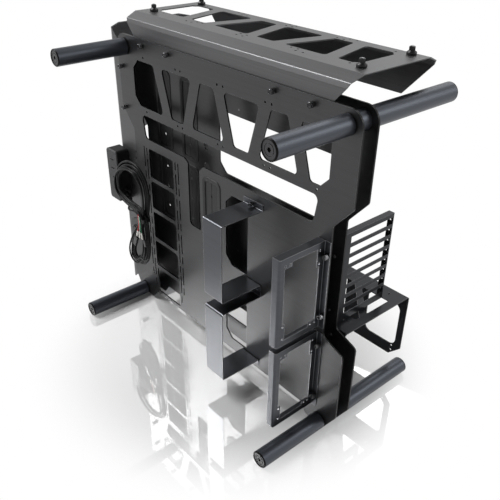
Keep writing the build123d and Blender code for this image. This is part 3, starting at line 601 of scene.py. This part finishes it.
class BENCH_OT_tray_knobs(bpy.types.Operator):
    """Knurled rubber knobs with metal tips on both trays"""
    bl_idname = "bench.tray_knobs"
    bl_label = "Tray knobs"

    def execute(self, context):
        look = context.scene.bench_finish
        detail = context.scene.bench_fasteners
        rubber = moulded("Knob rubber", look.rubber, rough=0.35, scale=1300.0, relief=0.1, specular=0.3)
        metal = bare_metal("Knob tip", look.post, rough=0.2)
        for tray, way in (("top_tray", Vector((0, 0, 1))), ("side_tray", Vector((-1, 0, 0)))):
            body = bmesh.new()
            tips = bmesh.new()
            axis = 2 if way.z else 0
            for points in solids_of(tray + "_knobs"):
                low, high, middle = middle_of(points)
                radius = (high.y - low.y) / 2 * KNOB_SHARE
                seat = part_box(tray)[1].z if way.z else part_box(tray)[0].x
                tip = abs((high if way.z else low)[axis] - seat)
                base = middle.copy()
                base[axis] = seat
                turn = Matrix.Translation(base) @ way.to_track_quat("Z", "Y").to_matrix().to_4x4()
                top = tip - mm
                profile = [(radius * 0.94, 0, False), (radius, top * 0.06, True), (radius, top * 0.32, True),
                           (radius * 0.92, top * 0.38, False), (radius * 0.64, top * 0.5, False),
                           (radius * 0.6, top * 0.56, True), (radius * 0.6, top * 0.96, True),
                           (radius * 0.56, top, False), (radius * 0.34, top, False)]
                lathe(body, profile, detail.knurl_teeth * 2, turn, detail.knurl_depth)
                lathe(tips, [(radius * 0.38, top * 0.9, False), (radius * 0.38, tip - 0.2 * mm, False),
                             (radius * 0.34, tip, False)], 24, turn)
            knobs = add_piece(tray + "_knob_bodies", body, rubber, "knob", tray + "_knobs")
            ends = add_piece(tray + "_knob_tips", tips, metal, "knob")
            ends.parent = knobs
        return {"FINISHED"}


class BENCH_OT_pan_screws(bpy.types.Operator):
    """Pan head screws with a cross recess"""
    bl_idname = "bench.pan_screws"
    bl_label = "Pan head screws"

    def execute(self, context):
        look = context.scene.bench_finish
        detail = context.scene.bench_fasteners
        material = brushed_metal("Black oxide screw", look.screw, PAN_GRAIN, rough=0.3, highlight_width=0.0003,
                                 highlight_amount=0.7)
        mesh = bmesh.new()
        for points in solids_of("card_screws"):
            low, high, middle = middle_of(points)
            radius = (high.x - low.x) / 2
            head = max(point.y for point in points if (point - middle).xz.length > radius * 0.9)
            turn = Matrix.Translation((middle.x, head, middle.z)) @ Matrix.Rotation(math.pi / 2, 4, "X")
            self.head(mesh, radius, head - low.y, head - high.y, turn, detail)
        add_piece("card_screw_heads", mesh, material, "screw", "card_screws")
        return {"FINISHED"}

    def head(self, mesh, radius, high, shank, turn, detail):
        """A domed head with a sunk cross, on its shank."""
        half = detail.cross_wide / 2
        reach = detail.cross_long / 2
        corners = [(half, half), (half, reach), (-half, reach), (-half, half), (-reach, half), (-reach, -half),
                   (-half, -half), (-half, -reach), (half, -reach), (half, -half), (reach, -half), (reach, half)]
        segments = len(corners) * 2
        start = math.atan2(corners[0][1], corners[0][0])
        profile = [(radius * 0.6, shank), (radius * 0.6, 0), (radius, 0), (radius, high * 0.4),
                   (radius * 0.93, high * 0.7), (radius * 0.8, high * 0.9), (radius * 0.66, high)]
        rings = [ring(mesh, turn, size, height, segments, start) for size, height in profile]
        join_rings(mesh, rings)
        mesh.faces.new(list(reversed(rings[0])))
        rim = [mesh.verts.new(turn @ Vector((x, y, high))) for x, y in corners]
        sunk = [mesh.verts.new(turn @ Vector((x * 0.8, y * 0.8, high - detail.cross_deep))) for x, y in corners]
        outer = rings[-1]
        for index in range(len(corners)):
            after = (index + 1) % len(corners)
            first, second, third = outer[2 * index], outer[2 * index + 1], outer[(2 * index + 2) % segments]
            mesh.faces.new((first, second, rim[index]))
            mesh.faces.new((second, third, rim[after], rim[index]))
            mesh.faces.new((rim[index], rim[after], sunk[after], sunk[index]))
        mesh.faces.new(sunk)


# The longer part of a card slot is a hair taller than the solid's, so that no wall of the cut lies on the solid's own
SLOT_EASE = 0.04 * mm
# The sheet fills about a quarter of each cutter, so a cut takes away at least this share of their room
CUT_SHARE = 0.2


class BENCH_OT_card_bracket(bpy.types.Operator):
    """Card bracket whose slots run on to its rear flange"""
    bl_idname = "bench.card_bracket"
    bl_label = "Card bracket"

    def execute(self, context):
        cuts = self.cuts(context.scene.bench_card)
        room = cuts.calc_volume()
        cutter = bpy.data.objects.new("slot_cutter", finish_mesh(cuts, "slot_cutter"))
        shape = bmesh.new()
        shape.from_mesh(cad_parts["card_bracket"].data)
        bmesh.ops.remove_doubles(shape, verts=shape.verts, dist=WELD)
        whole = shape.calc_volume()
        blank = bpy.data.objects.new("slot_blank", finish_mesh(shape, "slot_blank"))
        for piece in (cutter, blank):
            context.scene.collection.objects.link(piece)
        cut = blank.modifiers.new("slots", "BOOLEAN")
        cut.operation = "DIFFERENCE"
        cut.solver = "EXACT"
        cut.object = cutter
        context.view_layer.update()
        shape = bmesh.new()
        shape.from_object(blank, context.evaluated_depsgraph_get())
        if whole - shape.calc_volume() < room * CUT_SHARE:
            raise RuntimeError("the card slots were not cut")
        for piece in (cutter, blank):
            data = piece.data
            bpy.data.objects.remove(piece)
            bpy.data.meshes.remove(data)
        card = bpy.data.materials["Deep satin black sheet"]
        add_piece("card_bracket_slotted", shape, card, "bracket", "card_bracket")
        return {"FINISHED"}

    def cuts(self, sizes):
        """Blocks that reach from inside the solid's slots to the rear flange."""
        low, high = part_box("card_bracket")
        middle = (low.z + high.z) / 2 + sizes.slot_lift
        ends = (low.y + sizes.slot_back - mm, high.y - sizes.sheet - sizes.flange_room)
        size = Matrix.Diagonal((4 * sizes.sheet, ends[1] - ends[0], sizes.slot_high + SLOT_EASE, 1))
        mesh = bmesh.new()
        for index in range(sizes.slots):
            level = middle + sizes.pitch * (index - (sizes.slots - 1) / 2)
            bmesh.ops.create_cube(mesh, size=1, matrix=Matrix.Translation((high.x, sum(ends) / 2, level)) @ size)
        return mesh


def lead_curve(name, points, wide, material, *stands_for):
    """A lead as one smooth line with a round section."""
    curve = bpy.data.curves.new(name, "CURVE")
    curve.dimensions = "3D"
    curve.bevel_depth = wide / 2
    curve.bevel_resolution = 3
    curve.resolution_u = 6
    curve.use_fill_caps = True
    line = curve.splines.new("NURBS")
    line.points.add(len(points) - 1)
    for spot, point in zip(line.points, points):
        spot.co = (*point, 1)
    line.order_u = 3
    line.use_endpoint_u = True
    return add_piece(name, curve, material, "thin_lead" if wide < 2 * mm else "lead", *stands_for)


# One turn of the hank in millimetres: across, height, and how far it has gone over to the front layer
HANK_TURN = (
    (-223.6, 258.6, 1.0), (-215.3, 254.7, 1.0), (-208.8, 248.2, 1.0), (-204.9, 239.9, 1.0), (-202.9, 228.5, 1.0),
    (-202.2, 213.0, 1.0), (-202.6, 196.0, 0.9), (-204.8, 178.0, 0.8), (-209.2, 160.0, 0.65), (-217.2, 143.5, 0.5),
    (-229.5, 130.5, 0.5), (-246.0, 122.5, 0.5), (-261.5, 124.0, 0.45), (-270.0, 135.5, 0.4), (-269.5, 151.0, 0.3),
    (-262.5, 168.0, 0.2), (-253.0, 185.5, 0.1), (-242.0, 202.5, 0.0), (-229.5, 218.5, 0.0), (-218.0, 232.5, 0.0),
    (-209.8, 247.0, 0.0), (-204.5, 263.0, 0.0), (-201.0, 281.0, 0.0), (-199.5, 301.0, 0.05), (-202.5, 321.0, 0.15),
    (-212.0, 337.5, 0.3), (-228.0, 347.0, 0.4), (-247.0, 349.5, 0.5), (-267.0, 345.5, 0.6), (-285.0, 335.5, 0.7),
    (-299.0, 320.0, 0.8), (-306.0, 301.0, 0.9), (-303.5, 282.5, 1.0), (-291.0, 271.0, 1.0), (-272.5, 265.0, 1.0),
    (-253.5, 261.8, 1.0), (-237.0, 260.3, 1.0))
# The lower loop is free of the tie from the first of these points to the second
TIE_LEFT = 3
TIED_BELOW = 20
# Points past the last full turn, which bring the lead back to the tie
HANK_ENDS = 4

# Ways of the leads in millimetres: from the port box to the hank, and from the hank to the plug
DATA_OUT = [(-310, -11, 268), (-300.5, -11, 268), (-288.5, -16.5, 266), (-280, -26.3, 264.8), (-266, -33.2, 267),
            (-250, -35.8, 267), (-236, -36.2, 266)]
DATA_TAIL = [(-212, -36.9, 233), (-213.9, -38.2, 224.5), (-216.2, -42.6, 215.0), (-220.5, -47.2, 206.5),
             (-225, -48.5, 199)]
SOUND_OUT = [(-310, -11, 256), (-300.5, -11, 256), (-288.5, -15.8, 254.8), (-279.5, -25.5, 252.8),
             (-270.5, -35.5, 250.6), (-260, -43, 249.6), (-247, -45.6, 252.2), (-235, -45, 256)]
SOUND_TAIL = [(-203.4, -46.9, 232), (-201.4, -47.8, 222), (-198.6, -47.8, 212), (-196.5, -47.7, 202)]
SWITCH_WAYS = (
    ((-216.8, -45.9, 254.6), (-213.6, -48.6, 250.2), (-209.9, -49.9, 243.8), (-210.1, -50.4, 235.1),
     (-211.0, -51.6, 226.6), (-213.5, -51.9, 218.6)),
    ((-213.9, -45.9, 252.4), (-210.8, -48.6, 249.6), (-207.3, -49.9, 243.8), (-206.8, -50.4, 235.1),
     (-206.2, -51.6, 226.6), (-206.5, -51.9, 218.6)),
    ((-211.2, -45.9, 250.2), (-208.2, -48.6, 248.8), (-204.7, -49.9, 243.6), (-203.4, -50.4, 235.1),
     (-201.4, -51.6, 226.6), (-199.5, -51.9, 218.6)))


def hank_turns(turns, spacing, back, front, lower_slack, upper_slack, lift):
    """Points of a lead that winds in a figure of eight through the tie, each turn beside the last.

    spacing is the step from one turn to the next, back and front the lead's two layers off the front plate,
    and each turn's slack makes its lower and upper loop smaller or larger away from the tie."""
    count = len(HANK_TURN)
    points = []
    for step in range(turns * count + HANK_ENDS):
        turn, index = divmod(step, count)
        x, z, share = HANK_TURN[index]
        before, after = HANK_TURN[index - 1], HANK_TURN[(index + 1) % count]
        along = Vector((after[0] - before[0], after[1] - before[1])).normalized()
        side = spacing * (turns / 2 - step / count)
        depth = back + (front - back) * share
        if turn < turns:
            below = index < TIED_BELOW
            first, last = (TIE_LEFT, TIED_BELOW) if below else (TIED_BELOW, count)
            part = (index - first) / (last - first)
            free = math.sin(math.pi * min(1, max(0, part))) ** 2
            side += free * (lower_slack if below else upper_slack)[turn]
            depth += 0 if below else free * lift[turn]
        points.append((x - along.y * side, depth, z + along.x * side))
    return points


def corner_turns(steps):
    """The sides of a rounded outline's four corners, in turn, and the directions round each."""
    for quarter, sides in enumerate(((1, 1), (-1, 1), (-1, -1), (1, -1))):
        for step in range(steps + 1):
            angle = math.pi / 2 * (quarter + step / steps)
            yield *sides, math.cos(angle), math.sin(angle)


def rounded_band(mesh, middle, half, corner, thick, low, high):
    """A flat band round a bundle, with round corners and eased edges."""
    line = [((half[0] - corner) * right, (half[1] - corner) * back, across, deep)
            for right, back, across, deep in corner_turns(6)]
    rings = []
    for out, level in ((0, low), (thick * 0.7, low), (thick, low + thick * 0.5), (thick, high - thick * 0.5),
                       (thick * 0.7, high), (0, high)):
        rings.append([mesh.verts.new(at_bench(middle[0] + x + (corner + out) * across,
                                              middle[1] + y + (corner + out) * deep, level))
                      for x, y, across, deep in line])
    join_rings(mesh, rings + rings[:1])


# A grommet's section in millimetres: out from the opening's edge, and back from the plate's front face
GROMMET_RIM = ((3.5, 0), (3.5, -0.5), (2.8, -1.2), (-3.6, -1.2), (-4.8, -0.4), (-4.8, 3.4), (-3.6, 4.2), (2.8, 4.2),
               (3.5, 3.5), (3.5, 3), (0, 3), (0, 0))
PLATE_THICK = 3
GROMMET_LIP = 3.5
# Corners of the openings, and the sides of the rear plate's tall ones
GROMMET_ROUND = 10
TALL_OPENING = (-237, -190)
# A grommet's skin: how far inside the opening it starts, its two faces, and half the slit and the star cuts
SKIN_IN = 4.4
SKIN_FACES = (0.8, 2.2)
SLIT_HALF = 0.5
STAR_HALF_WIDE = 2.8
STAR_HALF_HIGH = 3


class BENCH_OT_grommets(bpy.types.Operator):
    """Rubber grommets of the cable openings, each with a slit skin"""
    bl_idname = "bench.grommets"
    bl_label = "Grommets"

    def execute(self, context):
        look = context.scene.bench_finish
        rubber = moulded("Black rubber", look.rubber, rough=0.5, scale=1400.0, relief=0.12)
        for name in ("front_grommet", "rear_grommet_lower", "rear_grommet_upper"):
            low, high = [(corner - bench_origin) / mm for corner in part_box(name)]
            span = (low.x + GROMMET_LIP, high.x - GROMMET_LIP)
            self.grommet(context, name + "_rubber", span, low, high, rubber, name)
            if name.startswith("rear"):
                self.grommet(context, name.replace("rear", "tall") + "_rubber", TALL_OPENING, low, high, rubber)
        return {"FINISHED"}

    def grommet(self, context, name, span, low, high, rubber, *stands_for):
        """A rim that grips the plate, and inside it a skin in two halves with star cuts along the slit."""
        detail = context.scene.bench_fasteners
        edges = (*span, low.z + GROMMET_LIP, high.z - GROMMET_LIP)
        face = (low.y + high.y - PLATE_THICK) / 2
        mesh = bmesh.new()
        rings = [[mesh.verts.new(at_bench(x, face + back, z)) for x, z in self.loop(edges, out)]
                 for out, back in GROMMET_RIM]
        join_rings(mesh, rings + rings[:1])
        line = self.loop(edges, -SKIN_IN)
        quarter = len(line) // 4
        slit = sum(span) / 2
        ends = (edges[2] + SKIN_IN, edges[3] - SKIN_IN)
        count = round((ends[1] - ends[0]) / detail.star_pitch * mm)
        stars = [ends[0] + (ends[1] - ends[0]) * (index + 0.5) / count for index in range(count)]
        for way, corners in ((-1, line[quarter:3 * quarter]), (1, line[3 * quarter:] + line[:quarter])):
            lip = slit + way * SLIT_HALF
            cut = [(lip, ends[0])]
            for star in stars:
                cut += [(lip, star - STAR_HALF_HIGH), (slit + way * STAR_HALF_WIDE, star), (lip, star + STAR_HALF_HIGH)]
            cut.append((lip, ends[1]))
            outline = corners + (cut if way < 0 else cut[::-1])
            layers = [[mesh.verts.new(at_bench(x, face + back, z)) for x, z in outline] for back in SKIN_FACES]
            mesh.faces.new(layers[0])
            mesh.faces.new(layers[1][::-1])
            join_rings(mesh, layers)
        add_piece(name, mesh, rubber, "grommet", *stands_for)

    def loop(self, edges, out):
        """Points round an opening with round corners, moved out from its edge."""
        left, right, low, high = edges
        reach = GROMMET_ROUND + out
        return [((right if side > 0 else left) - side * GROMMET_ROUND + reach * across,
                 (high if end > 0 else low) - end * GROMMET_ROUND + reach * up)
                for side, end, across, up in corner_turns(5)]


class BENCH_OT_leads(bpy.types.Operator):
    """Leads of the port box, wound into a tied hank, with their plugs"""
    bl_idname = "bench.leads"
    bl_label = "Leads"

    def execute(self, context):
        look = context.scene.bench_finish
        sizes = context.scene.bench_leads
        sheath = moulded("Black sheath", look.sheath, rough=0.32, scale=900.0, relief=0.08, specular=0.12)
        dress(["usb_lead_plug", "audio_lead_plug"],
              moulded("Plug plastic", look.plug, rough=0.4, scale=1300.0, relief=0.12))
        dress(["switch_plugs"], moulded("Pale plug", look.pale_plug, rough=0.45, scale=1300.0, relief=0.08))
        data = DATA_OUT + hank_turns(turns=3, spacing=5.0, back=-31.2, front=-36.4, lower_slack=(1.5, 0.0, -2.0),
                                     upper_slack=(1.5, -1.5, -3.5), lift=(-1.5, 0.5, 2.0)) + DATA_TAIL
        self.cord("usb_lead", data, sizes.usb_wide, sizes.usb_long, sheath, ["usb_lead_plug"],
                  "lead_hank", "usb_lead_start", "usb_lead_tail")
        sound = SOUND_OUT + hank_turns(turns=2, spacing=-3.9, back=-40.9, front=-44.7, lower_slack=(-4.0, 2.0),
                                       upper_slack=(4.0, -3.0), lift=(-2.0, 1.0)) + SOUND_TAIL
        self.cord("audio_lead", sound, sizes.audio_wide, sizes.audio_long, sheath, ["audio_lead_plug"],
                  "audio_lead_start", "audio_lead_tail")
        colours = (look.red_lead, look.pale_lead, look.green_lead)
        for number, (colour, way) in enumerate(zip(colours, SWITCH_WAYS), 1):
            skin = moulded("Switch lead %d" % number, colour, rough=0.4, scale=900.0, relief=0.06)
            self.cord("switch_lead_%d" % number, way, sizes.thin_wide, sizes.thin_long, skin, ["switch_plugs"],
                      *(["switch_leads"] if number == 1 else []))
        band = bmesh.new()
        rounded_band(band, middle=(-207.2, -37.6), half=(9.3, 9.3), corner=3.4, thick=0.9, low=239.5, high=248.5)
        tie = moulded("Tie", look.sheath, rough=0.35, scale=1200.0, relief=0.1)
        add_piece("tie_band", band, tie, "lead", "lead_tie")
        return {"FINISHED"}

    def cord(self, name, points, wide, length, material, ends, *stands_for):
        """A lead from its exit to its plug."""
        spots = [at_bench(*point) for point in points]
        piece = lead_curve(name, spots, wide, material, *stands_for)


# Square soft lamps: name, place, side and power, all turned to one point of the bench
LAMPS = (("key_lamp", (-1.2, -0.8, 2.5), 1.0, 45), ("left_lamp", (-2.75, -2.0, 3.1), 1.4, 110),
         ("top_lamp", (-0.4, 1.7, 2.4), 1.3, 14), ("right_lamp", (1.7, 1.5, 1.5), 0.8, 10))
LAMP_AIM = Vector((0, 0, 0.3))

# Width of the sensor that the lens is given for, in millimetres
SENSOR_WIDE = 36

# The floor's radius and its drop below the bench, and the distances over which its mirror ends and its white begins
FLOOR_RADIUS = 14
FLOOR_DROP = 0.0002
MIRROR_ENDS = (0.3, 0.7)
WHITE_BEGINS = (0.25, 0.45)
FLOOR_ROUGH = 0.6
MIRROR_ROUGH = 0.03

# The room's light by direction, as limits and the levels there: along Y, low down and overhead
BEHIND = ((-0.35, 0.2), (0.3, 0.95))
LOW_DOWN = ((0.12, 0.4), (0.95, 0))
OVERHEAD = ((0.5, 0.95), (1, 0.2))


class BENCH_OT_stage(bpy.types.Operator):
    """Camera, pale floor and soft studio light"""
    bl_idname = "bench.stage"
    bl_label = "Stage"

    def execute(self, context):
        stage = context.scene.bench_stage
        scene = context.scene
        scene.view_settings.view_transform = "Standard"
        self.camera(scene, stage)
        self.floor(scene, stage)
        self.world(scene)
        for name, place, side, power in LAMPS:
            self.lamp(scene, name, place, side, power)
        return {"FINISHED"}

    def camera(self, scene, stage):
        """The camera at the viewing angle that the stage's values give."""
        data = bpy.data.cameras.new("camera")
        camera = bpy.data.objects.new("camera", data)
        scene.collection.objects.link(camera)
        turn = Matrix.Rotation(math.radians(stage.azimuth), 4, "Z")
        tip = Matrix.Rotation(math.radians(90 - stage.elevation), 4, "X")
        roll = Matrix.Rotation(math.radians(stage.roll), 4, "Z")
        camera.matrix_world = Matrix.Translation(at_bench(*stage.eye)) @ turn @ tip @ roll
        data.sensor_width = SENSOR_WIDE
        data.lens = stage.lens
        data.shift_x, data.shift_y = stage.shift
        scene.camera = camera

    def floor(self, scene, stage):
        """A wide round floor that mirrors a little beside the bench and goes over to white further out."""
        mesh = bmesh.new()
        bmesh.ops.create_circle(mesh, cap_ends=True, segments=96, radius=FLOOR_RADIUS)
        data = bpy.data.meshes.new("floor")
        mesh.to_mesh(data)
        mesh.free()
        floor = bpy.data.objects.new("floor", data)
        scene.collection.objects.link(floor)
        floor.location = (0, 0, cad_low.z - FLOOR_DROP)
        material, tree, shader = new_material("Pale floor")
        shader.inputs["Base Color"].default_value = (*stage.floor, 1)
        shader.inputs["Roughness"].default_value = FLOOR_ROUGH
        out = vector_node(tree, "LENGTH", coordinate(tree, "Object"))["Value"]
        mirror = tree.nodes.new("ShaderNodeBsdfGlossy")
        mirror.inputs["Roughness"].default_value = MIRROR_ROUGH
        share = smooth(tree, out, MIRROR_ENDS, (stage.sheen, 0))
        beside = two_shaders(tree, share, shader.outputs[0], mirror.outputs[0])
        white = tree.nodes.new("ShaderNodeEmission")
        path = tree.nodes.new("ShaderNodeLightPath")
        seen = math_node(tree, "MAXIMUM", path.outputs["Is Camera Ray"], path.outputs["Is Glossy Ray"])
        seen = math_node(tree, "MAXIMUM", seen, path.outputs["Is Transmission Ray"])
        share = math_node(tree, "MULTIPLY", seen, smooth(tree, out, WHITE_BEGINS, (0, 1)))
        beyond = two_shaders(tree, share, beside, white.outputs[0])
        tree.links.new(beyond, tree.nodes["Material Output"].inputs["Surface"])
        data.materials.append(material)

    def world(self, scene):
        """White behind the bench and low down all round, with a darker room in front and above."""
        world = bpy.data.worlds.new("studio")
        world.use_nodes = True
        tree = world.node_tree
        way = parts_of(tree, "Generated")
        level = math_node(tree, "MAXIMUM", smooth(tree, way["Y"], *BEHIND), smooth(tree, way["Z"], *LOW_DOWN))
        level = math_node(tree, "MULTIPLY", level, smooth(tree, way["Z"], *OVERHEAD))
        tree.links.new(level, tree.nodes["Background"].inputs["Strength"])
        tree.nodes["Background"].inputs["Color"].default_value = (1, 1, 1, 1)
        scene.world = world

    def lamp(self, scene, name, place, side, power):
        """One square lamp that faces the bench."""
        data = bpy.data.lights.new(name, "AREA")
        data.shape = "RECTANGLE"
        data.size = data.size_y = side
        data.energy = power
        lamp = bpy.data.objects.new(name, data)
        scene.collection.objects.link(lamp)
        lamp.location = place
        aim = LAMP_AIM - lamp.location
        lamp.rotation_euler = aim.to_track_quat("-Z", "Y").to_euler()


class BENCH_PT_panel(bpy.types.Panel):
    """Sizes, colours and steps of the bench"""
    bl_idname = "BENCH_PT_panel"
    bl_label = "Open Air Test Bench"
    bl_space_type = "VIEW_3D"
    bl_region_type = "UI"
    bl_category = "Bench"

    def draw(self, context):
        for group in GROUPS:
            values = getattr(context.scene, group)
            column = self.layout.column(align=True)
            for label in values.bl_rna.properties.keys():
                if label not in ("rna_type", "name"):
                    column.prop(values, label)
        for operator in STEPS:
            self.layout.operator(operator.bl_idname)


GROUPS = {"bench_finish": BenchFinish, "bench_fasteners": BenchFasteners, "bench_card": BenchCard,
          "bench_leads": BenchLeads, "bench_stage": BenchStage}
STEPS = (BENCH_OT_finishes, BENCH_OT_thumb_screws, BENCH_OT_tray_knobs, BENCH_OT_pan_screws,
         BENCH_OT_card_bracket, BENCH_OT_grommets, BENCH_OT_leads, BENCH_OT_stage)


def register():
    for name, group in GROUPS.items():
        bpy.utils.register_class(group)
        setattr(bpy.types.Scene, name, PointerProperty(type=group))
    for step in STEPS:
        bpy.utils.register_class(step)
    bpy.utils.register_class(BENCH_PT_panel)


def unregister():
    bpy.utils.unregister_class(BENCH_PT_panel)
    for step in reversed(STEPS):
        bpy.utils.unregister_class(step)
    for name, group in GROUPS.items():
        delattr(bpy.types.Scene, name)
        bpy.utils.unregister_class(group)


def main():
    register()
    bpy.ops.bench.finishes()
    bpy.ops.bench.thumb_screws()
    bpy.ops.bench.tray_knobs()
    bpy.ops.bench.pan_screws()
    bpy.ops.bench.card_bracket()
    bpy.ops.bench.grommets()
    bpy.ops.bench.leads()
    bpy.ops.bench.stage()


if __name__ == "__main__":
    main()
